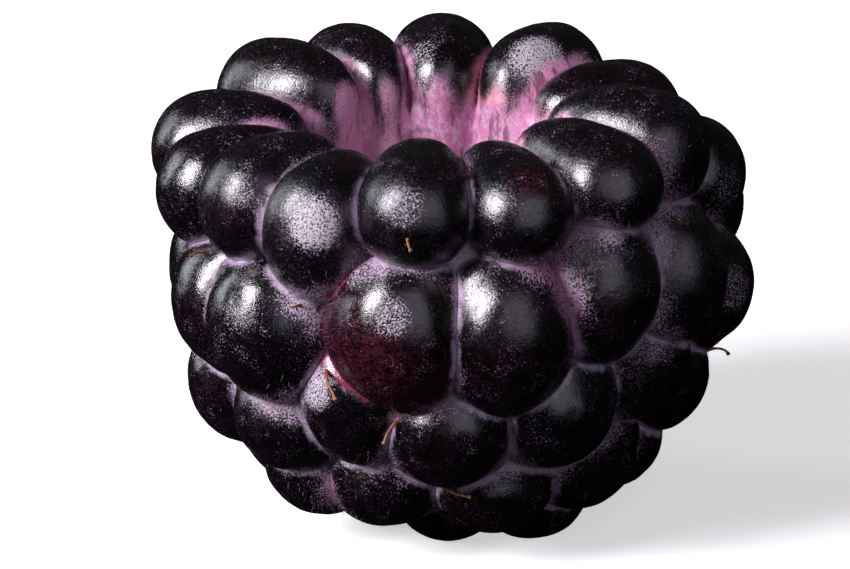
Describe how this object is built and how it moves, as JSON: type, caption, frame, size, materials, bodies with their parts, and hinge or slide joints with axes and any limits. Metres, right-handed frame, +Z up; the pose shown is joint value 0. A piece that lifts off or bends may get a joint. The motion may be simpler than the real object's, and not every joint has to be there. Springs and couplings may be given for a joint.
{
  "type": "bramble berry",
  "caption": "Squat aggregate berry of plump dark drupelets, picked off its core, standing mouth up as a hollow cup with a few withered styles.",
  "frame": {"origin": "under the middle of the berry's box, on the surface that its lowest drupelets stand on", "axes": "+Z up out of the mouth of the hollow; -Y towards the side whose drupelets are seen in front; +X to that side's right"},
  "size_m": [0.0172, 0.017, 0.0132],
  "materials": {
    "skin": "thin glossy fruit skin, near-black purple with a waxy lilac bloom in the creases",
    "dry_style": "withered plant thread, matt orange-brown"
  },
  "bodies": {
    "root": {"berry": "skin", "withered_style_01": "dry_style", "withered_style_02": "dry_style", "withered_style_03": "dry_style", "withered_style_04": "dry_style", "withered_style_05": "dry_style", "withered_style_06": "dry_style", "withered_style_07": "dry_style", "withered_style_08": "dry_style", "withered_style_09": "dry_style", "withered_style_10": "dry_style", "withered_style_11": "dry_style", "withered_style_12": "dry_style", "withered_style_13": "dry_style", "withered_style_14": "dry_style", "withered_style_15": "dry_style", "withered_style_16": "dry_style"}
  },
  "joints": []
}
